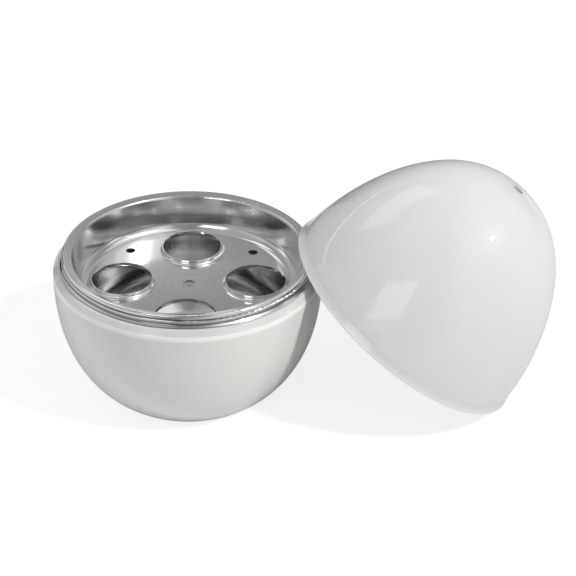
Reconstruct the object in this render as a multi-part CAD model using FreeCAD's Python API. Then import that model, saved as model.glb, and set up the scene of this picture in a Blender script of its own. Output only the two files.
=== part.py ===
import FreeCAD, Part
import math
import os

# Egg-shaped microwave egg cooker with its lid off, leaning on the base.
# Lengths are millimetres and angles are degrees. The origin is the middle of the base's foot
# on the table, +Z is up, and +X points from the base towards the lid.
# Bowl, tray and lid are bodies of revolution, so each section is drawn in the XZ half plane,
# with x as the distance from the axis, and turned about Z.

V = FreeCAD.Vector

# Sheet metal and running clearances
sheet = 0.6                 # thickness of the drawn aluminium
nest_clearance = 0.3        # between nested pieces, on each side
lean_clearance = 0.25       # between the leaning lid and the base's rim

# Base shell: a moulded plastic bowl in the form of an egg's blunt half
base_radius = 67.0          # at its widest level
widest_height = 65.0        # level of the widest radius above the table
bowl_tail = 11.0            # below the table, to where the outline would meet the axis
bowl_fullness = 2.36        # exponent along the axis
bowl_bluntness = 2.55       # exponent across the axis
base_wall = 2.4
foot_ring_width = 5.5
foot_recess = 1.5
foot_edge_radius = 1.2

# Shoulder and neck on top of the base shell
shoulder_radius = 1.4       # rounding from the wall into the shoulder
shoulder_lean = 39.0        # how far the shoulder's normal points above level
shoulder_width = 2.5        # from the widest radius in to the shoulder's top edge
shoulder_edge_radius = 0.5
ledge_width = 3.3           # flat ledge from the shoulder in to the neck
neck_wall = 2.0
neck_edge_radius = 0.3
neck_height = 3.15          # above the ledge

# Rolled rim of the base liner, which grips the neck
bulge_reach = 1.7           # outward from the neck's outside to the bulge
bulge_radius = 0.9
pinch_drop = 2.1            # from the rim's top down to the pinch
pinch_radius = 1.0
flare_reach = 2.1           # outward from the neck's outside to the flared edge
flare_lift = 0.6            # flared edge above the ledge
rim_bend_radius = 1.0

# Bowl of the base liner
liner_draft = 2.2           # how much narrower the wall is at its foot than at its rim
liner_corner_gap = 4.6      # from the middle of the rounding at its foot out to the shell
liner_floor_gap = 0.4       # above the base shell's floor

# Egg tray: a shallow pan hung by its rim on the liner's rim
tray_depth = 20.0           # from the rim's top to the tray's floor
tray_draft = 3.0
tray_corner_radius = 5.0
tray_lip_radius = 1.3
tray_rim_rise = 1.7         # slope of the rim, from the lip up to the bead
tray_rim_reach = 4.6        # from the pan's wall out to the rim's outer edge
tray_bead_radius = 1.0
tray_edge_depth = 2.3       # outer edge of the rim, below the bead's corner

# Seats and steam holes in the tray
seat_count = 4
seat_circle_radius = 33.5
seat_hole_radius = 15.0
seat_collar_height = 2.4
seat_collar_bend = 1.5
steam_hole_radius = 2.5
steam_circle_radius = 45.0
drain_hole_radius = 3.0

# Lid shell: the egg's pointed half, as wide as the bowl, with a lip that flares along its rim
lid_height = 87.5
lid_fullness = 1.61
lid_bluntness = 2.245
lid_wall = 2.2
lid_edge_radius = 0.6
lip_reach = 1.2             # outward from the dome's widest radius to the lip's corner
lip_height = 4.4
lip_bend_radius = 3.0       # rounding from the dome into the lip
vent_radius = 2.75
catch_height = 3.2          # middle of the bead that holds the lid liner
catch_radius = 0.9

# How the lid lies: it leans over towards +X, its rim on the table and on the base's rim
lid_lean = 35.2

outline_points = 13         # points through which an egg outline is drawn
contact_steps = 360         # places round the rim at which the lid's contact is measured
halvings = 30


def egg_point(radius, length, fullness, bluntness, turn):
    """Distance from the axis, and from the widest level, at a turn from 0 to a quarter."""
    across = radius * max(math.cos(turn), 0.0) ** (2.0 / bluntness)
    along = length * math.sin(turn) ** (2.0 / fullness)
    return across, along


def egg_turn(length, fullness, along):
    """Turn at which the outline is this far from the widest level."""
    return math.asin((along / length) ** (fullness / 2.0))


def egg_edge(radius, length, fullness, bluntness, start, end, level, side):
    """Smooth outline between two distances from the widest level, above (1) or below (-1)."""
    first = egg_turn(length, fullness, start)
    last = egg_turn(length, fullness, end)
    points = []
    for i in range(outline_points):
        turn = first + (last - first) * i / (outline_points - 1)
        across, along = egg_point(radius, length, fullness, bluntness, turn)
        points.append(V(across, 0, level + side * along))
    curve = Part.BSplineCurve()
    curve.interpolate(points)
    return curve.toShape()


def end_points(edge):
    """Ends of an edge in its own direction."""
    return edge.valueAt(edge.FirstParameter), edge.valueAt(edge.LastParameter)


def rounded_path(corners):
    """Open run of lines through (x, z, radius) corners, each rounded by its radius."""
    points = [V(x, 0, z) for x, z, radius in corners]
    edges = []
    last = points[0]
    for i in range(1, len(points) - 1):
        radius = corners[i][2]
        back = (points[i - 1] - points[i]).normalize()
        ahead = (points[i + 1] - points[i]).normalize()
        half = back.getAngle(ahead) / 2.0
        reach = radius / math.tan(half)
        start = points[i] + back * reach
        end = points[i] + ahead * reach
        bisector = (back + ahead).normalize()
        centre = points[i] + bisector * (radius / math.sin(half))
        middle = centre - bisector * radius
        if last.distanceToPoint(start) > 1e-6:
            edges.append(Part.makeLine(last, start))
        edges.append(Part.Arc(start, middle, end).toShape())
        last = end
    edges.append(Part.makeLine(last, points[-1]))
    return Part.Wire(edges)


def turned(section):
    """Solid of revolution about Z from a closed section in the XZ half plane."""
    solid = section.revolve(V(0, 0, 0), V(0, 0, 1), 360)
    return solid if solid.ShapeType == "Solid" else Part.makeSolid(solid)


def closed_section(edges):
    """Face inside a run of edges that ends where it begins."""
    return Part.Face(Part.Wire(Part.__sortEdges__(edges)))


def sheet_section(corners, side=-1):
    """Section of drawn sheet: the corners give one face, and side says where the other is."""
    return rounded_path(corners).makeOffset2D(side * sheet, 0, True, True)


def cylinder(radius, x, y, low, high):
    return Part.makeCylinder(radius, high - low, V(x, y, low))


# Levels and radii that follow from the driving dimensions
bowl_length = widest_height + bowl_tail
shoulder_turn = math.radians(shoulder_lean)
shoulder_centre_x = base_radius - shoulder_radius
shoulder_start_x = shoulder_centre_x + shoulder_radius * math.cos(shoulder_turn)
shoulder_start_z = widest_height + shoulder_radius * math.sin(shoulder_turn)
shoulder_top_x = base_radius - shoulder_width
shoulder_rise = (shoulder_start_x - shoulder_top_x) / math.tan(shoulder_turn)
ledge_z = shoulder_start_z + shoulder_rise
neck_outer = shoulder_top_x - ledge_width
neck_inner = neck_outer - neck_wall
neck_top = ledge_z + neck_height
floor_top = foot_recess + base_wall
liner_radius = neck_inner - nest_clearance - sheet
liner_rim_z = neck_top + nest_clearance + sheet
liner_floor_z = floor_top + liner_floor_gap + sheet
tray_radius = liner_radius - nest_clearance - sheet
tray_edge_x = tray_radius + tray_rim_reach
tray_bead_z = liner_rim_z + nest_clearance + tray_edge_depth
tray_lip_z = tray_bead_z - tray_rim_rise
lid_radius = base_radius
seat_blank_radius = seat_hole_radius + 2 * sheet + seat_collar_bend

# Circle round which the tray's bead is rolled: the highest ring of the base
tray_rim_slope = math.atan2(tray_rim_rise, tray_rim_reach)
bead_x = tray_edge_x - tray_bead_radius
bead_z = tray_bead_z - tray_bead_radius / math.tan((math.pi / 2 - tray_rim_slope) / 2.0)
rim_top = bead_z + tray_bead_radius
tray_floor_z = rim_top - tray_depth

# Lid, in its own frame: the rim's plane is z = 0 and the dome rises along +Z
lip_radius = lid_radius + lip_reach
lid_bore = lid_radius - lid_wall
lid_liner_foot = catch_height + catch_radius + nest_clearance
lid_outline = egg_edge(lid_radius, lid_height, lid_fullness, lid_bluntness,
                       lip_height + lip_bend_radius, lid_height, 0.0, 1)
lid_foot, lid_top = end_points(lid_outline)
lid_upward = lid_outline.tangentAt(lid_outline.FirstParameter)
lip_top = lid_foot - lid_upward * (lip_bend_radius / lid_upward.z)
lip_flare = math.atan2(lip_radius - lip_top.x, lip_top.z)
lip_edge_x = lip_radius - lid_edge_radius / math.tan((math.pi / 2 - lip_flare) / 2)


def base_shell():
    """Bowl with a foot ring, an inward shoulder and a neck for the metal rim."""
    outside = egg_edge(base_radius, bowl_length, bowl_fullness, bowl_bluntness,
                       0.0, widest_height, widest_height, -1)
    outside_top, outside_foot = end_points(outside)
    shoulder = Part.Arc(
        outside_top,
        V(shoulder_centre_x + shoulder_radius * math.cos(shoulder_turn / 2), 0,
          widest_height + shoulder_radius * math.sin(shoulder_turn / 2)),
        V(shoulder_start_x, 0, shoulder_start_z)).toShape()
    inside = egg_edge(base_radius - base_wall, bowl_length - base_wall, bowl_fullness,
                      bowl_bluntness, shoulder_radius, widest_height - floor_top,
                      widest_height, -1)
    inside_top, inside_floor = end_points(inside)
    top = rounded_path([
        (shoulder_start_x, shoulder_start_z, 0),
        (shoulder_top_x, ledge_z, shoulder_edge_radius),
        (neck_outer, ledge_z, neck_edge_radius),
        (neck_outer, neck_top, neck_edge_radius),
        (neck_inner, neck_top, neck_edge_radius),
        (neck_inner, ledge_z - base_wall, neck_edge_radius),
        (shoulder_top_x - base_wall * math.tan(shoulder_turn / 2), ledge_z - base_wall,
         shoulder_radius),
        (inside_top.x, inside_top.z, 0)])
    ring_x = outside_foot.x - foot_ring_width
    bottom = Part.makePolygon([inside_floor, V(0, 0, floor_top), V(0, 0, foot_recess),
                               V(ring_x, 0, foot_recess), V(ring_x, 0, 0), outside_foot])
    shell = turned(closed_section([outside, shoulder] + top.Edges + [inside] + bottom.Edges))
    foot_edges = [edge for edge in shell.Edges if edge.BoundBox.ZMax < 1e-6]
    return shell.makeFillet(foot_edge_radius, foot_edges).Solids[0]


def shell_bore(z):
    """Inside radius of the base shell at a level."""
    below = (widest_height - z) / (bowl_length - base_wall)
    return (base_radius - base_wall) * (1 - below ** bowl_fullness) ** (1 / bowl_bluntness)


def liner_corner_radius():
    """Rounding of the liner's foot whose middle keeps its gap to the shell, found by halving."""
    beyond = 0.0
    clear = (liner_radius - liner_draft) / 2
    for i in range(halvings):
        step = (beyond + clear) / 2
        gap = shell_bore(liner_floor_z + step) - (liner_radius - liner_draft - step)
        if gap < liner_corner_gap:
            beyond = step
        else:
            clear = step
    return clear / (1 - math.sqrt(0.5))


def base_liner():
    """Deep drawn bowl, its edge rolled outward over the neck, pinched and flared."""
    neck_side = neck_outer + nest_clearance + sheet
    return turned(sheet_section([
        (0, liner_floor_z, 0),
        (liner_radius - liner_draft, liner_floor_z, liner_corner_radius()),
        (liner_radius, liner_rim_z, rim_bend_radius),
        (neck_outer + bulge_reach, liner_rim_z, bulge_radius),
        (neck_side, liner_rim_z - pinch_drop, pinch_radius),
        (neck_outer + flare_reach, ledge_z + flare_lift, 0)]))


def seat_collar():
    """Ring drawn up round one seat hole, on the Z axis."""
    outer_radius = seat_hole_radius + sheet
    return turned(sheet_section([
        (seat_blank_radius, tray_floor_z, 0),
        (outer_radius, tray_floor_z, seat_collar_bend),
        (outer_radius, tray_floor_z + seat_collar_height, 0)], 1))


def egg_tray():
    """Pan with a rolled rim, raised seats, steam holes and a drain hole."""
    pan = turned(sheet_section([
        (0, tray_floor_z, 0),
        (tray_radius - tray_draft, tray_floor_z, tray_corner_radius),
        (tray_radius, tray_lip_z, tray_lip_radius),
        (tray_edge_x, tray_bead_z, tray_bead_radius),
        (tray_edge_x, tray_bead_z - tray_edge_depth, 0)]))
    below, above = tray_floor_z - 2 * sheet, tray_floor_z + sheet
    holes = [cylinder(drain_hole_radius, 0, 0, below, above)]
    collars = []
    for i in range(seat_count):
        turn = 2 * math.pi * i / seat_count
        half_turn = turn + math.pi / seat_count
        seat_x = seat_circle_radius * math.cos(turn)
        seat_y = seat_circle_radius * math.sin(turn)
        steam_x = steam_circle_radius * math.cos(half_turn)
        steam_y = steam_circle_radius * math.sin(half_turn)
        holes.append(cylinder(seat_blank_radius, seat_x, seat_y, below, above))
        holes.append(cylinder(steam_hole_radius, steam_x, steam_y, below, above))
        collars.append(seat_collar().translated(V(seat_x, seat_y, 0)))
    return pan.cut(holes).fuse(collars).removeSplitter().Solids[0]


def vent_cutter():
    """Cylinder along the lid's axis that makes the steam vent."""
    return cylinder(vent_radius, 0, 0, lid_height / 2, lid_height + lid_wall)


def lid_shell():
    """Dome with a lip along its rim, a vent, and a bead that holds the liner."""
    inside = egg_edge(lid_bore, lid_height - lid_wall, lid_fullness, lid_bluntness,
                      catch_height, lid_height - lid_wall, 0.0, 1)
    inside_foot, inside_top = end_points(inside)
    rim = rounded_path([
        (lid_foot.x, lid_foot.z, 0),
        (lip_top.x, lip_top.z, lip_bend_radius),
        (lip_radius, 0, lid_edge_radius),
        (lid_bore, 0, lid_edge_radius),
        (inside_foot.x, catch_height, 0)])
    crown = Part.makeLine(inside_top, lid_top)
    dome = turned(closed_section([lid_outline] + rim.Edges + [inside, crown]))
    catch = Part.makeTorus(inside_foot.x, catch_radius, V(0, 0, catch_height))
    return dome.fuse(catch).cut(vent_cutter()).removeSplitter().Solids[0]


def lid_liner():
    """Thin dome inside the lid's shell, with the same vent."""
    gap = lid_wall + nest_clearance
    outside = egg_edge(lid_radius - gap, lid_height - gap, lid_fullness, lid_bluntness,
                       lid_liner_foot, lid_height - gap, 0.0, 1)
    inside = egg_edge(lid_radius - gap - sheet, lid_height - gap - sheet, lid_fullness,
                      lid_bluntness, lid_liner_foot, lid_height - gap - sheet, 0.0, 1)
    outside_foot, outside_top = end_points(outside)
    inside_foot, inside_top = end_points(inside)
    hem = Part.makeLine(outside_foot, inside_foot)
    crown = Part.makeLine(inside_top, outside_top)
    return turned(closed_section([outside, hem, inside, crown])).cut(vent_cutter()).Solids[0]


def lid_centre_height():
    """Height of the rim's centre at which the leaning lid's lowest point is on the table."""
    lean = math.radians(lid_lean)
    return lip_edge_x * math.sin(lean) + lid_edge_radius * (1 - math.cos(lean))


def lean_gap(centre_x):
    """Least distance between the leaning lid's rim and the tray's bead."""
    lean = math.radians(lid_lean)
    least = lip_radius
    for i in range(contact_steps + 1):
        turn = math.pi / 2 * i / contact_steps
        x = bead_x * math.cos(turn) - centre_x
        y = bead_x * math.sin(turn)
        z = bead_z - lid_centre_height()
        along = x * math.sin(lean) + z * math.cos(lean)
        across = math.hypot(x * math.cos(lean) - z * math.sin(lean), y)
        inward = lid_bore + lid_edge_radius - across
        outward = across - lip_edge_x
        aside = max(inward, outward, 0.0)
        below = max(lid_edge_radius - along, 0.0)
        least = min(least, math.hypot(aside, below))
    return least - lid_edge_radius - tray_bead_radius


def lid_centre_x():
    """Place along X at which the lid lies against the base, found by halving."""
    touching = lip_radius
    free = lip_radius + base_radius
    for i in range(halvings):
        middle = (touching + free) / 2
        if lean_gap(middle) < lean_clearance:
            touching = middle
        else:
            free = middle
    return free


def leaned(shape):
    """A piece of the lid, moved from the lid's own frame to where it lies."""
    lean = FreeCAD.Rotation(V(0, 1, 0), lid_lean)
    place = V(lid_centre_x(), 0, lid_centre_height())
    return shape.transformed(FreeCAD.Placement(place, lean).toMatrix())


nodes = {
    "base_shell": base_shell(),
    "base_liner": base_liner(),
    "egg_tray": egg_tray(),
    "lid_shell": leaned(lid_shell()),
    "lid_liner": leaned(lid_liner()),
}

os.makedirs("parts", exist_ok=True)
for name, shape in nodes.items():
    print(name, shape.ShapeType, shape.isValid(), round(shape.Volume, 1))
    shape.exportStep("parts/" + name + ".step")
print("lid centre", lid_centre_x(), lid_centre_height(), "rim top", rim_top)
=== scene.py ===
# %% [markdown]
# # A microwave egg cooker in a photo studio
# The cooker is egg-shaped, white and glossy, and comes in two halves. The lower half is a bowl
# that holds a polished metal liner and a pierced metal tray. The upper half is a lid, lined with
# metal too, which is off here and leans on the bowl's rim.
#
# The shapes come from a CAD model, so this script doesn't draw them again. It loads them as a
# fixed frame and gives each one its finish, a camera and studio light.

# %% Load the frame
import json
import math

import bpy
import numpy as np
from mathutils import Euler, Matrix, Vector


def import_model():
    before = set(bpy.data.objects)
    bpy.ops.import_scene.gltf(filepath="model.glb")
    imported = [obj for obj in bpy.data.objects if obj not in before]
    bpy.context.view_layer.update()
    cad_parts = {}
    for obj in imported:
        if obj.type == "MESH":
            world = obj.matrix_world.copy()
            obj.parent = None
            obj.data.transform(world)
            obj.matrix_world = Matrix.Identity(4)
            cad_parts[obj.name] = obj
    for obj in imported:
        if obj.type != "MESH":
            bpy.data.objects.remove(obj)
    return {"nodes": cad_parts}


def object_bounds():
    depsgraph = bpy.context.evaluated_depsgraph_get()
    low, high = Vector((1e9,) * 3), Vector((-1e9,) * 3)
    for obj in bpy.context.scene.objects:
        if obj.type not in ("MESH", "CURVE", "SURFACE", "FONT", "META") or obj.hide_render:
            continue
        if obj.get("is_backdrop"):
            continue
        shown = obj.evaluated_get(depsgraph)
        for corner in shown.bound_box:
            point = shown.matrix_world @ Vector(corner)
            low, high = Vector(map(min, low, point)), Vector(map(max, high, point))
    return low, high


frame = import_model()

cad_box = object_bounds()
print("pieces:", sorted(frame["nodes"]))

# %% [markdown]
# ## The camera
# A long lens looks down at the cooker from the eye level of somebody who sits at the table. Its
# place and angles were fitted to the outlines of the bowl and the lid, so they are written here as
# measured values. Tilt, roll and turn could be one matrix, but as three rotations each one can be
# read and changed by itself.

# %% Place the camera
CAMERA_PLACE = Vector((0.03368, -0.59741, 0.42031))
CAMERA_TILT_DOWN = math.radians(31.59)
CAMERA_ROLL = math.radians(1.61)
CAMERA_TURN = math.radians(-1.54)
SENSOR_WIDTH = 36.0
LENS = 87.07


def turned_about(axis, angle):
    return Matrix.Rotation(angle, 3, axis)


camera_data = bpy.data.cameras.new("camera")
camera_data.sensor_width = SENSOR_WIDTH
camera_data.lens = LENS
camera = bpy.data.objects.new("camera", camera_data)
camera_turn = (turned_about("Z", CAMERA_TURN)
               @ turned_about("X", math.pi / 2 - CAMERA_TILT_DOWN)
               @ turned_about("Z", CAMERA_ROLL))
camera.matrix_world = Matrix.Translation(CAMERA_PLACE) @ camera_turn.to_4x4()
scene = bpy.context.scene
scene.collection.objects.link(camera)
scene.camera = camera
scene.view_settings.view_transform = "Standard"
print("camera looks along", [round(v, 3) for v in camera_turn @ Vector((0, 0, -1))])

# %% [markdown]
# ## Where the lid lies
# Bowl, liner and tray are turned about the Z axis, but the lid leans over. Marks on the lid follow
# its own axis, so its materials need that axis and the middle of its rim. The lean is one known
# angle. The rest is measured on the mesh: seen square to the axis the lid is as wide on both
# sides, so its axis runs half way between, and its rim is its lowest level along the axis.

# %% Measure the lid
LID_LEAN = math.radians(35.2)
lid_turn = Euler((0, LID_LEAN, 0))
lid_axis = lid_turn.to_matrix() @ Vector((0, 0, 1))
lid_across = lid_turn.to_matrix() @ Vector((1, 0, 0))


def spread_along(node_name, direction):
    """Least and greatest distance of a CAD node's points along a direction."""
    mesh = frame["nodes"][node_name].data
    points = np.zeros(len(mesh.vertices) * 3)
    mesh.vertices.foreach_get("co", points)
    along = points.reshape(-1, 3) @ np.array(direction)
    return along.min(), along.max()


rim_level, crown_level = spread_along("lid_shell", lid_axis)
side_low, side_high = spread_along("lid_shell", lid_across)
lid_centre = lid_axis * rim_level + lid_across * (side_low + side_high) / 2
print("lid rim centre", [round(v, 4) for v in lid_centre],
      "height", round(crown_level - rim_level, 4))

# %% [markdown]
# ## Adding nodes
# A material is a tree of nodes. The first helper adds one node, sets its options, and fills each
# input with a number or with another node's output, so that a material reads as a list of steps.
# The others shorten the nodes that are used most.

# %% Helpers that add nodes
def add(tree, kind, options=(), inputs=()):
    node = tree.nodes.new("ShaderNode" + kind)
    for name, value in dict(options).items():
        setattr(node, name, value)
    for name, value in dict(inputs).items():
        if isinstance(value, bpy.types.NodeSocket):
            tree.links.new(value, node.inputs[name])
        else:
            node.inputs[name].default_value = value
    return node


def arithmetic(tree, operation, *values):
    return add(tree, "Math", {"operation": operation}, enumerate(values)).outputs[0]


def noise(tree, place, rate, detail=2.0):
    """Noise around 0.5, with about `rate` patches to the metre."""
    return add(tree, "TexNoise",
               inputs={"Vector": place, "Scale": rate, "Detail": detail}).outputs[0]


def spread(tree, value, low, high, to_low=0.0, to_high=1.0):
    """Spreads the part of a value between low and high over a new range, and cuts off the rest."""
    return add(tree, "MapRange", {"interpolation_type": "SMOOTHSTEP"},
               {"Value": value, "From Min": low, "From Max": high,
                "To Min": to_low, "To Max": to_high}).outputs[0]


print("helpers:", [helper.__name__ for helper in (add, arithmetic, noise, spread)])

# %% [markdown]
# ## Node groups
# An effect that several materials share is a node group: a small tree with named inputs and
# outputs. It is built once, and each material places it with values of its own.

# %% Helpers that build and place a group
def new_group(name, inputs, outputs):
    """Empty group. Inputs are {name: starting value, or None for a vector}."""
    group = bpy.data.node_groups.new(name, "ShaderNodeTree")
    for socket_name, value in inputs.items():
        kind = "NodeSocketVector" if value is None else "NodeSocketFloat"
        socket = group.interface.new_socket(socket_name, in_out="INPUT", socket_type=kind)
        if value is not None:
            socket.default_value = value
    for socket_name in outputs:
        group.interface.new_socket(socket_name, in_out="OUTPUT", socket_type="NodeSocketFloat")
    given = group.nodes.new("NodeGroupInput").outputs
    made = group.nodes.new("NodeGroupOutput").inputs
    print("group", name, "takes", list(inputs), "and gives", list(outputs))
    return group, given, made


def placed(tree, group, inputs):
    """Outputs of a group placed in a material."""
    return add(tree, "Group", {"node_tree": group}, inputs).outputs


# %% [markdown]
# ## Shared effect: handling marks
# Nothing that has been picked up is evenly glossy. Fingers leave faint films a few centimetres
# wide, and wiping spreads them. Two noises could be painted as a picture, but as nodes they need
# no unwrapping and fit any piece: a coarse one makes the patches, and a fine one breaks them up.
# They only touch the roughness, because a dirty look would be wrong on a clean cooker.

# %% Build the handling marks
GRAINS_PER_PATCH = 7.0
PATCH_EDGES = (0.45, 0.7)
GRAIN_EDGES = (0.35, 0.65)
marks, given, made = new_group(
    "handling marks", {"Position": None, "Clean roughness": 0.1, "Filmed roughness": 0.2,
                       "Patch size": 0.03}, ["Roughness"])
patch_rate = arithmetic(marks, "DIVIDE", 1.0, given["Patch size"])
grain_rate = arithmetic(marks, "MULTIPLY", patch_rate, GRAINS_PER_PATCH)
patches = spread(marks, noise(marks, given["Position"], patch_rate, detail=3.0), *PATCH_EDGES)
grains = spread(marks, noise(marks, given["Position"], grain_rate), *GRAIN_EDGES)
film = arithmetic(marks, "MULTIPLY", patches, grains)
roughness = spread(marks, film, 0.0, 1.0, given["Clean roughness"], given["Filmed roughness"])
marks.links.new(roughness, made["Roughness"])

# %% [markdown]
# ## Shared effect: surface waves
# Moulded plastic shrinks unevenly as it cools, and drawn metal keeps some of the press's waves. A
# reflected window shows it: its edges wander a little. Displacing the mesh would be far too strong
# for waves of a few thousandths of a millimetre, so they are a height for a Bump node.

# %% Build the surface waves
waves, given, made = new_group(
    "surface waves", {"Position": None, "Wave length": 0.02, "Wave height": 0.00001}, ["Height"])
wave_rate = arithmetic(waves, "DIVIDE", 1.0, given["Wave length"])
swell = noise(waves, given["Position"], wave_rate, detail=1.0)
waves.links.new(arithmetic(waves, "MULTIPLY", swell, given["Wave height"]), made["Height"])

# %% [markdown]
# ## Shared effect: clouds
# White plastic is never one white: the filler in it is a little denser here than there. The
# difference is too faint to see as a pattern, but without it the shells look lifeless. This group
# is a soft mask of such clouds.

# %% Build the cloud mask
CLOUD_EDGES = (0.3, 0.7)
clouds, given, made = new_group("clouds", {"Position": None, "Cloud size": 0.04}, ["Mask"])
cloud_rate = arithmetic(clouds, "DIVIDE", 1.0, given["Cloud size"])
cloud = spread(clouds, noise(clouds, given["Position"], cloud_rate, detail=3.0), *CLOUD_EDGES)
clouds.links.new(cloud, made["Mask"])

# %% [markdown]
# ## Shared effect: bands
# Some changes go once round a turned piece at one height along its axis: a painted highlight along
# an edge, painted shade in a groove or hollow, a foot that has picked up dust. This group is 1
# between two levels and fades out to both sides.

# %% Build the band mask
bands, given, made = new_group(
    "band", {"Position": None, "Low": 0.0, "High": 0.001, "Fade": 0.0004}, ["Mask"])
level = add(bands, "SeparateXYZ", inputs={0: given["Position"]}).outputs["Z"]
fade_start = arithmetic(bands, "SUBTRACT", given["Low"], given["Fade"])
fade_end = arithmetic(bands, "ADD", given["High"], given["Fade"])
above_low = spread(bands, level, fade_start, given["Low"])
above_high = spread(bands, level, given["High"], fade_end)
bands.links.new(arithmetic(bands, "SUBTRACT", above_low, above_high), made["Mask"])

# %% [markdown]
# ## The start of every material
# Each material paints by the place on the piece itself. The lid leans, so its places are turned
# back into its own frame first, where its axis is Z and its rim is at 0. One function does this
# for all pieces: for those that stand upright the turn is just zero.

# %% Helpers for materials
UPRIGHT = (Vector((0, 0, 0)), Euler((0, 0, 0)))
LEANING = (lid_centre, lid_turn)


def new_material(name):
    material = bpy.data.materials.new(name)
    material.use_nodes = True
    tree = material.node_tree
    tree.nodes.clear()
    shader = add(tree, "BsdfPrincipled")
    add(tree, "OutputMaterial", inputs={"Surface": shader.outputs[0]})
    return material, tree, shader


def own_position(tree, stance):
    centre, turn = stance
    place = add(tree, "TexCoord").outputs["Object"]
    return add(tree, "Mapping", {"vector_type": "TEXTURE"},
               {"Vector": place, "Location": centre, "Rotation": turn}).outputs[0]


def blended(tree, factor, first, second):
    """Colour that goes from the first to the second as the factor goes from 0 to 1."""
    FACTOR, FIRST, SECOND, RESULT = 0, 6, 7, 2
    mix = add(tree, "Mix", {"data_type": "RGBA"}, {FACTOR: factor})
    for slot, colour in ((FIRST, first), (SECOND, second)):
        if isinstance(colour, bpy.types.NodeSocket):
            tree.links.new(colour, mix.inputs[slot])
        else:
            mix.inputs[slot].default_value = (*colour, 1)
    return mix.outputs[RESULT]


print("the lid's own frame starts at", [round(v, 4) for v in LEANING[0]])

# %% [markdown]
# Two more steps are the same for plastic and metal: the bands are laid over the colour one by one,
# and the waves, with any finer relief added to them, go through a Bump node into the normal.

# %% Helpers for bands, relief and slots
WAVES = {"Wave length": 0.018, "Wave height": 0.00001}


def with_bands(tree, position, colour, rings):
    """Lays bands over a colour. Each ring is its own colour, low, high and fade, in metres."""
    for ring_colour, low, high, fade in rings:
        band = placed(tree, bands, {"Position": position, "Low": low, "High": high, "Fade": fade})
        colour = blended(tree, band["Mask"], colour, ring_colour)
    return colour


def add_relief(tree, shader, position, finer=None):
    """Gives the shader a normal from the surface waves and a finer height."""
    height = placed(tree, waves, {"Position": position, **WAVES})["Height"]
    if finer is not None:
        height = arithmetic(tree, "ADD", height, finer)
    bump = add(tree, "Bump", inputs={"Height": height, "Strength": 1.0, "Distance": 1.0})
    tree.links.new(bump.outputs[0], shader.inputs["Normal"])


def dress(node_name, material):
    """Gives a CAD node its finish."""
    finishes = frame["nodes"][node_name].data.materials
    finishes.clear()
    finishes.append(material)
    print(node_name, "wears", material.name)


# %% [markdown]
# ## The white plastic
# The shells are moulded polypropylene: milky, smooth and glossy. Three things make it look like
# plastic and not like paint. Light enters a little way before it comes back, so the shader gets a
# short subsurface distance. Its gloss is sharp, which a coat gives: one clear reflection over a
# faint, soft one. And its white isn't even: it has clouds, and bands of painted light and shade.

# %% Build the white plastic
CLOUD_SIZE, CLOUD_SHADE = 0.04, 0.985
PLASTIC_MARKS = {"Clean roughness": 0.38, "Filmed roughness": 0.46, "Patch size": 0.04}
PLASTIC = {
    "IOR": 1.49, "Specular IOR Level": 0.12, "Subsurface Weight": 0.2,
    "Subsurface Radius": (1.0, 0.95, 0.9), "Subsurface Scale": 0.002,
    "Coat Weight": 1.0, "Coat IOR": 1.5, "Coat Roughness": 0.015}


def white_plastic(name, stance, white, rings):
    """Plastic with bands of another white round it, as (whiteness, low, high, fade)."""
    material, tree, shader = new_material(name)
    position = own_position(tree, stance)
    cloud = placed(tree, clouds, {"Position": position, "Cloud size": CLOUD_SIZE})["Mask"]
    colour = blended(tree, cloud, white, [CLOUD_SHADE * part for part in white])
    whites = [([whiteness * part for part in white], *place) for whiteness, *place in rings]
    tree.links.new(with_bands(tree, position, colour, whites), shader.inputs["Base Color"])
    gloss = placed(tree, marks, {"Position": position, **PLASTIC_MARKS})["Roughness"]
    tree.links.new(gloss, shader.inputs["Roughness"])
    add_relief(tree, shader, position)
    for socket_name, value in PLASTIC.items():
        shader.inputs[socket_name].default_value = value
    return material


# %% [markdown]
# The bowl has three bands. Its foot holds a little dust from the table. The shoulder's edge gets a
# painted highlight: a brighter white that stands in for the bright line of light along it. The flat
# ledge above it gets painted shade: a greyer white for the shade of the metal rim.

# %% Dress the bowl's shell
BOWL_WHITE = (0.815, 0.808, 0.785)
FOOT_DUST = (0.93, -0.001, 0.003, 0.003)
# painted highlight: a brighter white along the shoulder's edge
BOWL_EDGE_PAINTED_HIGHLIGHT = (1.21, 0.0640, 0.0653, 0.0005)
# painted shade: a greyer white on the ledge under the metal rim
BOWL_LEDGE_PAINTED_SHADE = (0.80, 0.0663, 0.0700, 0.0003)
dress("base_shell", white_plastic("bowl_plastic", UPRIGHT, BOWL_WHITE,
                                  [FOOT_DUST, BOWL_EDGE_PAINTED_HIGHLIGHT, BOWL_LEDGE_PAINTED_SHADE]))

# %% [markdown]
# The lid has two bands, both at its lip. The very edge gets painted light: a brighter white that
# stands in for light coming through the thin edge. A few millimetres further up, where the lip
# begins to flare, it gets painted shade: a greyer white for the hollow there, which gathers less
# light.

# %% Dress the lid's shell
LID_WHITE = (0.757, 0.757, 0.752)
# painted light: a brighter white at the lid's thin edge
LID_EDGE_PAINTED_LIGHT = (1.07, -0.001, 0.0008, 0.0007)
# painted shade: a greyer white where the lip begins to flare
LID_LIP_PAINTED_SHADE = (0.91, 0.0032, 0.0040, 0.0018)
dress("lid_shell", white_plastic("lid_plastic", LEANING, LID_WHITE, [LID_EDGE_PAINTED_LIGHT, LID_LIP_PAINTED_SHADE]))

# %% [markdown]
# ## Shared effect: turning marks
# The metal is spun or pressed, then polished while it turns, which leaves very fine rings round its
# axis. They spread a reflection across the rings and keep it sharp along them. A texture that
# depends on the distance from the axis and the height draws such rings on any turned shape. A
# little noise along the way keeps them from being perfect circles.

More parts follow.
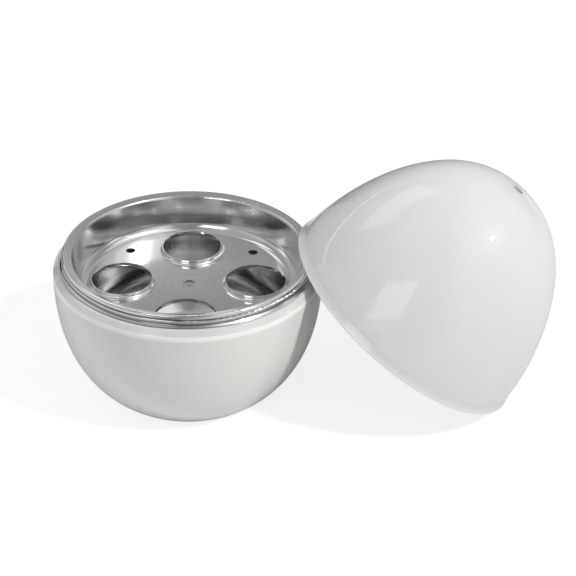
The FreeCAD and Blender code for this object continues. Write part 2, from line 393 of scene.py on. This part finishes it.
# %% Build the turning marks
RING_DEPTH = 0.004
WANDER_RATE = 40.0
RING_EDGES = (0.3, 0.7)
turning, given, made = new_group(
    "turning marks", {"Position": None, "Ring width": 0.0004, "Wander": 0.0003},
    ["Rings", "Height"])
flat_place = add(turning, "VectorMath", {"operation": "MULTIPLY"},
                 {0: given["Position"], 1: (1, 1, 0)}).outputs[0]
radius = add(turning, "VectorMath", {"operation": "LENGTH"}, {0: flat_place}).outputs["Value"]
height = add(turning, "SeparateXYZ", inputs={0: given["Position"]}).outputs["Z"]
wander = arithmetic(turning, "MULTIPLY",
                    noise(turning, given["Position"], WANDER_RATE), given["Wander"])
ring_rate = arithmetic(turning, "DIVIDE", 1.0, given["Ring width"])
ring_place = add(turning, "CombineXYZ", inputs={
    0: arithmetic(turning, "ADD", radius, wander),
    1: arithmetic(turning, "ADD", height, wander)}).outputs[0]
rings = noise(turning, ring_place, ring_rate, detail=4.0)
turning.links.new(spread(turning, rings, *RING_EDGES), made["Rings"])
groove = arithmetic(turning, "MULTIPLY", given["Ring width"], RING_DEPTH)
turning.links.new(arithmetic(turning, "MULTIPLY", rings, groove), made["Height"])

# %% [markdown]
# ## The polished aluminium
# Liner, tray and lid liner are bare aluminium sheet. It is a metal, so its colour is the colour of
# its reflections, and never quite the same from ring to ring. Duller rings are rougher too. The
# sheets that are polished and wiped are smoother than the lid's liner, which steam has dulled.

# %% Build the polished aluminium
BRIGHT_RING = (0.83, 0.83, 0.825)
DULL_RING = (0.70, 0.70, 0.70)
SMOOTHEST_RING, ROUGHEST_RING = 0.8, 1.3
FILM_ROUGHER = 1.3
FILM_SIZE = 0.05


def polished_metal(name, stance, roughness, rings=()):
    """Aluminium with dark bands round it, as (brightness, low, high, fade)."""
    material, tree, shader = new_material(name)
    position = own_position(tree, stance)
    turned = placed(tree, turning, {"Position": position})
    colour = blended(tree, turned["Rings"], BRIGHT_RING, DULL_RING)
    greys = [([brightness] * 3, *place) for brightness, *place in rings]
    tree.links.new(with_bands(tree, position, colour, greys), shader.inputs["Base Color"])
    gloss = placed(tree, marks, {
        "Position": position, "Clean roughness": roughness,
        "Filmed roughness": FILM_ROUGHER * roughness, "Patch size": FILM_SIZE})["Roughness"]
    ringed = spread(tree, turned["Rings"], 0.0, 1.0, SMOOTHEST_RING, ROUGHEST_RING)
    tree.links.new(arithmetic(tree, "MULTIPLY", gloss, ringed), shader.inputs["Roughness"])
    add_relief(tree, shader, position, turned["Height"])
    shader.inputs["Metallic"].default_value = 1.0
    return material


# %% [markdown]
# Under the rolled rim run two grooves: one where the liner is pinched in, and one where the tray
# hangs on the liner. Each gets painted shade, a dark band in the colour for the shade in the
# groove, which is what makes the rim read as several rolled edges and not as one.

# %% Dress the three metal pieces
SHEET_ROUGHNESS = 0.13
LID_LINER_ROUGHNESS = 0.22
# painted shade: dark lines in the two grooves under the rolled rim
PINCH_PAINTED_SHADE = (0.28, 0.0701, 0.0708, 0.0004)
RIM_GAP_PAINTED_SHADE = (0.35, 0.0724, 0.0732, 0.0003)
dress("base_liner", polished_metal("liner_aluminium", UPRIGHT, SHEET_ROUGHNESS,
                                   [PINCH_PAINTED_SHADE, RIM_GAP_PAINTED_SHADE]))
dress("egg_tray", polished_metal("tray_aluminium", UPRIGHT, SHEET_ROUGHNESS))
dress("lid_liner", polished_metal("lid_liner_aluminium", LEANING, LID_LINER_ROUGHNESS))

# %% [markdown]
# ## The studio's own things
# Floor and panels belong to the studio and not to the cooker, so each is declared as stage. Their
# materials often need to know whether a ray shows them as a backdrop: straight to the camera, in a
# reflection or through glass. Light Path answers that.

# %% Helpers for the studio
def studio_object(name, corners, faces, material):
    """Mesh that belongs to the studio, not to the cooker."""
    mesh = bpy.data.meshes.new(name)
    mesh.from_pydata(corners, [], faces)
    thing = bpy.data.objects.new(name, mesh)
    scene.collection.objects.link(thing)
    mesh.materials.append(material)
    thing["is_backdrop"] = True
    return thing


def shown_ray(tree):
    """1 for the rays that show a backdrop, and 0 for those that light the cooker."""
    ray = add(tree, "LightPath").outputs
    mirrored = arithmetic(tree, "MAXIMUM", ray["Is Glossy Ray"], ray["Is Transmission Ray"])
    return arithmetic(tree, "MAXIMUM", ray["Is Camera Ray"], mirrored)



# %% [markdown]
# ## The floor
# The cooker stands on white paper. A pure white background could be had with more light, but that
# would wash out the white plastic too. Instead the paper glows for the rays that go straight to
# the eye, and only a small part of its white is lit, which keeps a soft shadow. In a reflection
# most of it is lit, so that the metal and the gloss pick up the deeper shadow they lie in. All
# other rays see plain white paper, which throws light up under the round bowl.

# %% Build the paper
PAPER_WHITE = 0.80
PAPER_ROUGHNESS = 0.9
FIBRE_RATE = 300.0
FIBRE_EDGES = (0.3, 0.7)
FIBRE_SHADE = 0.97
SEEN_GLOW, SEEN_WHITE = 0.83, 0.23
MIRRORED_GLOW, MIRRORED_WHITE = 0.10, 0.60
floor_material, floor_tree, paper = new_material("floor_paper")
paper.inputs["Roughness"].default_value = PAPER_ROUGHNESS
fibres = spread(floor_tree, noise(floor_tree, own_position(floor_tree, UPRIGHT), FIBRE_RATE),
                *FIBRE_EDGES)
floor_tree.links.new(
    blended(floor_tree, fibres, [PAPER_WHITE] * 3, [FIBRE_SHADE * PAPER_WHITE] * 3),
    paper.inputs["Base Color"])
seen = add(floor_tree, "LightPath").outputs["Is Camera Ray"]
glow = add(floor_tree, "Emission", inputs={
    "Strength": spread(floor_tree, seen, 0.0, 1.0, MIRRORED_GLOW, SEEN_GLOW)}).outputs[0]
lit = add(floor_tree, "BsdfDiffuse", inputs={
    "Color": blended(floor_tree, seen, [MIRRORED_WHITE] * 3, [SEEN_WHITE] * 3)}).outputs[0]
shown = add(floor_tree, "AddShader", inputs={0: glow, 1: lit}).outputs[0]
floor_shader = add(floor_tree, "MixShader", inputs={
    0: shown_ray(floor_tree), 1: paper.outputs[0], 2: shown}).outputs[0]
floor_tree.links.new(floor_shader, floor_tree.nodes["Material Output"].inputs["Surface"])
print("paper nodes:", len(floor_tree.nodes))

# %% [markdown]
# The paper is one flat square at height 0, which is where the bowl's foot and the lid's rim stand.
# It is much larger than the cooker, so that low views don't show its edges close by.

# %% Lay the floor
FLOOR_SIZE = 12.0
reach = FLOOR_SIZE / 2
floor_corners = [(-reach, -reach, 0), (reach, -reach, 0), (reach, reach, 0), (-reach, reach, 0)]
studio_object("floor", floor_corners, [(0, 1, 2, 3)], floor_material)
print("floor", FLOOR_SIZE, "m square")

# %% [markdown]
# ## The room's light
# Soft light comes from above and from a bright wall on the left, with a little from the front. Many
# lamps could add up to that, but a background does it with no noise. Here it is a sum of wide
# lobes, each strongest along its own direction and gone at a right angle to it, so that each side
# of the room can be turned up or down by itself. The rays that show the backdrop see plain white.

# %% Build the room's light
ROOM_LIGHT = {"left": ((-1, 0, 0), 1.02), "front": ((0, -1, 0), 0.14), "above": ((0, 0, 1), 1.05)}
LOBE_SHARPNESS = 2.0
world = bpy.data.worlds.new("studio")
scene.world = world
world.use_nodes = True
room = world.node_tree
room.nodes.clear()
direction = add(room, "TexCoord").outputs["Generated"]
total = 0.0
for axis, strength in ROOM_LIGHT.values():
    facing = add(room, "VectorMath", {"operation": "DOT_PRODUCT"},
                 {0: direction, 1: axis}).outputs["Value"]
    lobe = arithmetic(room, "POWER", arithmetic(room, "MAXIMUM", facing, 0.0), LOBE_SHARPNESS)
    total = arithmetic(room, "MULTIPLY_ADD", lobe, strength, total)
soft = add(room, "Background", inputs={"Strength": total}).outputs[0]
white = add(room, "Background", inputs={"Color": (1, 1, 1, 1), "Strength": 1.0}).outputs[0]
sky = add(room, "MixShader", inputs={0: shown_ray(room), 1: soft, 2: white}).outputs[0]
add(room, "OutputWorld", inputs={"Surface": sky})
print("room light:", {side: strength for side, (axis, strength) in ROOM_LIGHT.items()})

# %% [markdown]
# ## What the gloss reflects
# White plastic and bare metal only look glossy when there is something to reflect. A studio uses
# panels: bright ones draw windows on the lid, and dark ones draw the metal's contours and the lid's
# dark upper edge. A picture of a room could give the same, but panels can be moved one by one. All
# of them wear the same cloth. Its strength is a value in the mesh, so that a panel can fade from
# corner to corner, and a slow noise keeps it from being perfectly even.

# %% Build the panels' cloth
CLOTH_RATE = 1.5
CLOTH_EDGES = (0.2, 0.8)
CLOTH_DARKEST, CLOTH_BRIGHTEST = 0.92, 1.08
panel_cloth, cloth_tree, default_shader = new_material("panel_cloth")
cloth_tree.nodes.remove(default_shader)
corner_strength = add(cloth_tree, "Attribute", {"attribute_name": "strength"}).outputs["Fac"]
unevenness = spread(cloth_tree, noise(cloth_tree, own_position(cloth_tree, UPRIGHT), CLOTH_RATE),
                    *CLOTH_EDGES, CLOTH_DARKEST, CLOTH_BRIGHTEST)
cloth_glow = add(cloth_tree, "Emission", inputs={
    "Strength": arithmetic(cloth_tree, "MULTIPLY", corner_strength, unevenness)}).outputs[0]
cloth_tree.links.new(cloth_glow, cloth_tree.nodes["Material Output"].inputs["Surface"])
print("panel cloth varies from", CLOTH_DARKEST, "to", CLOTH_BRIGHTEST)

# %% [markdown]
# A panel goes through four corners and is divided into small squares, so that it can bend round
# the cooker and fade evenly. Only reflections see it: it neither lights the cooker, nor throws a
# shadow, nor blocks the view.

# %% Helper for a panel
PANEL_STEPS = 12


def panel(name, corners, place):
    """Panel through corners of two coordinates and a strength; place makes a point of two."""
    points, strengths = [], []
    for i in range(PANEL_STEPS + 1):
        for j in range(PANEL_STEPS + 1):
            across, up = i / PANEL_STEPS, j / PANEL_STEPS
            shares = ((1 - across) * (1 - up), across * (1 - up), across * up, (1 - across) * up)
            first, second, strength = (
                sum(share * corner[k] for share, corner in zip(shares, corners))
                for k in range(3))
            points.append(place(first, second))
            strengths.append(strength)
    row = PANEL_STEPS + 1
    faces = [(i * row + j, (i + 1) * row + j, (i + 1) * row + j + 1, i * row + j + 1)
             for i in range(PANEL_STEPS) for j in range(PANEL_STEPS)]
    thing = studio_object(name, points, faces, panel_cloth)
    thing.data.attributes.new("strength", "FLOAT", "POINT").data.foreach_set("value", strengths)
    thing.visible_camera = False
    thing.visible_diffuse = False
    thing.visible_shadow = False
    thing.visible_transmission = False
    print("panel", name, "from", round(min(strengths), 2), "to", round(max(strengths), 2))
    return thing


# %% [markdown]
# The walls and the roof lie on a ball round the cooker, where a compass angle and a height, both in
# degrees, say at once in which direction a piece sees them. The compass starts at the right and
# turns to the back. The back wall is dark and ends in a bright strip, which draws the long thin
# arc on the lid's left.

# %% Put up the walls and the roof
STUDIO_CENTRE = Vector((0.06, 0.0, 0.06))
STUDIO_RADIUS = 1.5
WALLS = {  # left and right compass, low and high, strength at the left and at the right
    "back_wall": (60, 135, 0, 23.2, 0.5, 0.2),
    "back_left_wall": (135, 165, 0, 23.2, 0.2, 0.75),
    "back_strip": (112, 160, 22.8, 24.6, 2.0, 2.0),
    "back_upper_wall": (10, 165, 24.6, 80, 0.75, 0.4),
    "left_wall": (165, 229, 0, 31, 0.75, 0.35),
    "left_upper_wall": (165, 229, 31, 80, 0.45, 0.45),
    "front_wall": (256, 284, 0, 80, 0.22, 0.30),
    "front_right_wall": (284, 300, 0, 80, 0.30, 0.9),
    "front_upper_wall": (229, 258, 41, 80, 0.45, 0.3),
    "right_wall": (-60, 60, 0, 35, 0.7, 0.35),
    "roof": (0, 360, 80, 90, 0.4, 0.4)}


def on_ball(radius):
    """Places a compass angle and a height on a ball round the cooker."""
    def place(compass, rise):
        compass, rise = math.radians(compass), math.radians(rise)
        return STUDIO_CENTRE + radius * Vector((
            math.cos(rise) * math.cos(compass), math.cos(rise) * math.sin(compass),
            math.sin(rise)))
    return place


for name, (left, right, low, high, left_strength, right_strength) in WALLS.items():
    panel(name, [(left, low, left_strength), (right, low, right_strength),
                 (right, high, right_strength), (left, high, left_strength)],
          on_ball(STUDIO_RADIUS))

# %% [markdown]
# Two windows hang in front of the walls and draw the two bright shapes on the lid. On a round lid a
# square window would look bent, so each has four corners of its own, which were found by following
# the corners of those shapes back from the camera.

# %% Hang the windows
WINDOW_RADIUS = 0.95 * STUDIO_RADIUS
WINDOWS = {  # strength, then the corners' compass and height
    "front_window": (2.1, [(-128.9, 19.4), (-105.5, 19.0), (-101.8, 39.0), (-131.2, 40.0)]),
    "roof_window": (1.55, [(149.5, 38.5), (106.0, 43.5), (100.0, 68.0), (158.0, 55.0)])}
for name, (strength, corners) in WINDOWS.items():
    panel(name, [(*corner, strength) for corner in corners], on_ball(WINDOW_RADIUS))

# %% [markdown]
# At its upper edge the lid mirrors what is right behind it, low down. Two cards stand there: a dark
# one that draws the edge's dark line, and a grey one that lets the line fade towards the vent.

# %% Put the cards behind the lid
BACK_CARD_Y = 0.33
BACK_CARD_TOP = 0.16
BACK_CARDS = {  # left and right, strength at the left and at the right
    "near_dark_card": (-0.40, 0.05, 0.0, 0.07),
    "near_grey_card": (0.05, 0.32, 0.07, 0.5)}


def behind(along, height):
    """Places a point on the upright plane close behind the lid."""
    return Vector((along, BACK_CARD_Y, height))


def upright_card(name, left, right, left_strength, right_strength, top, place):
    """Card that stands on the floor between two places along it."""
    return panel(name, [(left, 0.0, left_strength), (right, 0.0, right_strength),
                        (right, top, right_strength), (left, top, left_strength)], place)


for name, card_values in BACK_CARDS.items():
    upright_card(name, *card_values, BACK_CARD_TOP, behind)

# %% [markdown]
# The tray's rim slopes inwards, and at the back it would mirror the roof window as a glaring patch.
# A grey collar stands close round the back of the bowl's rim and takes the window's place there. It
# is brighter low down at its left end, which lights the left side of the rim.

# %% Put the collar round the rim
COLLAR_RADIUS = 0.078
COLLAR_RIGHT, COLLAR_LEFT = 35, 160
COLLAR_LOW, COLLAR_HIGH = 0.079, 0.132


def round_rim(compass, height):
    """Places a compass angle and a height on an upright cylinder close round the bowl's rim."""
    compass = math.radians(compass)
    return Vector((COLLAR_RADIUS * math.cos(compass), COLLAR_RADIUS * math.sin(compass), height))


panel("rim_collar", [(COLLAR_RIGHT, COLLAR_LOW, 0.3), (COLLAR_LEFT, COLLAR_LOW, 0.75),
                     (COLLAR_LEFT, COLLAR_HIGH, 0.25), (COLLAR_RIGHT, COLLAR_HIGH, 0.3)],
      round_rim)

# %% [markdown]
# The bowl's middle is darker than its sides, as it is when a photographer holds black cards up to
# take light away, which is called negative fill. Two cards stand in front of the bowl, darkest
# where they meet. They are the only panels that diffuse light sees too.

# %% Put the black cards before the bowl
FRONT_CARD_Y = -0.16
FRONT_CARD_TOP = 0.095
FRONT_CARDS = {  # left and right, strength at the left and at the right
    "front_left_card": (-0.11, -0.03, 0.6, 0.12),
    "front_right_card": (-0.03, 0.07, 0.12, 0.7)}


def before(along, height):
    """Places a point on the upright plane before the bowl."""
    return Vector((along, FRONT_CARD_Y, height))


for name, card_values in FRONT_CARDS.items():
    card = upright_card(name, *card_values, FRONT_CARD_TOP, before)
    card.visible_diffuse = True

# %% [markdown]
# ## The key light
# One hard light, high at the front right, draws the lid's shadow on the bowl and the small bright
# spot near the lid's point. A sun lamp is far away, so its shadows run parallel, as they do here.

# %% Build the key light
KEY_COMPASS = math.radians(-27.7)
KEY_RISE = math.radians(46.0)
KEY_STRENGTH = 2.12
KEY_WIDTH = math.radians(4.0)
key_data = bpy.data.lights.new("key", "SUN")
key_data.energy = KEY_STRENGTH
key_data.angle = KEY_WIDTH
key = bpy.data.objects.new("key", key_data)
to_key = Vector((math.cos(KEY_RISE) * math.cos(KEY_COMPASS),
                 math.cos(KEY_RISE) * math.sin(KEY_COMPASS), math.sin(KEY_RISE)))
key.rotation_mode = "QUATERNION"
key.rotation_quaternion = to_key.to_track_quat("Z", "Y")
scene.collection.objects.link(key)
print("key light shines from", [round(v, 2) for v in to_key])

# %% [markdown]
# ## The sizes
# Nothing here changes the cooker's size. Two boxes are measured: the first is the CAD model's own,
# and the second is measured after all the work, and its size is printed.

# %% Measure the sizes
visual_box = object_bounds()
for box in (cad_box, visual_box):
    json.dumps([list(corner) for corner in box]) + "\n"
print("the box is", [round(high - low, 4) for low, high in zip(*visual_box)], "m")
